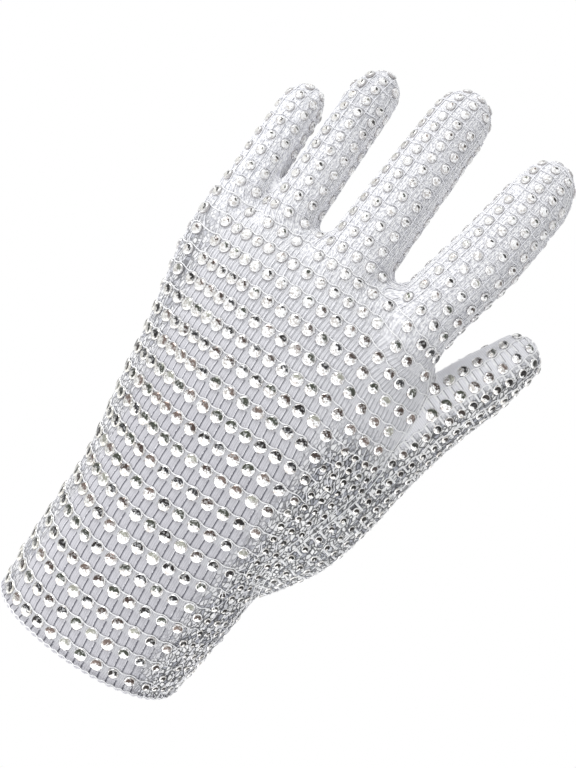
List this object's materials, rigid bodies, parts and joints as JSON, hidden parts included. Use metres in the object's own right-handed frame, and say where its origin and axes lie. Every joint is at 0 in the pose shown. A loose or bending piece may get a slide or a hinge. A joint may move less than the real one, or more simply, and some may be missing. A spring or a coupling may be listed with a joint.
{
  "type": "rhinestone glove",
  "caption": "Stretch dress glove for the left side with a short cuff, covered in rows of small cut stones on a net, in the rounded form it has in wear.",
  "frame": {"origin": "centre of the wrist opening, on the line through the middle of the glove's thickness", "axes": "+Z from the wrist opening to the fingertips, +X to the thumb's side, -Y out of the back of the glove"},
  "size_m": [0.1264, 0.0723, 0.239],
  "materials": {
    "knit_fabric": "smooth fine stretch knit, matt with a faint sheen",
    "hem_fabric": "rolled and sewn stretch knit",
    "net_thread": "fine shiny net thread",
    "row_thread": "shiny multifilament thread",
    "stone": "clear cut glass with a foil back"
  },
  "bodies": {
    "root": {"back_panel": "knit_fabric", "palm_panel": "knit_fabric", "fourchette_ring_little": "knit_fabric", "fourchette_middle_ring": "knit_fabric", "fourchette_index_middle": "knit_fabric", "thumb_panel": "knit_fabric", "cuff_hem": "hem_fabric"}
  },
  "joints": []
}
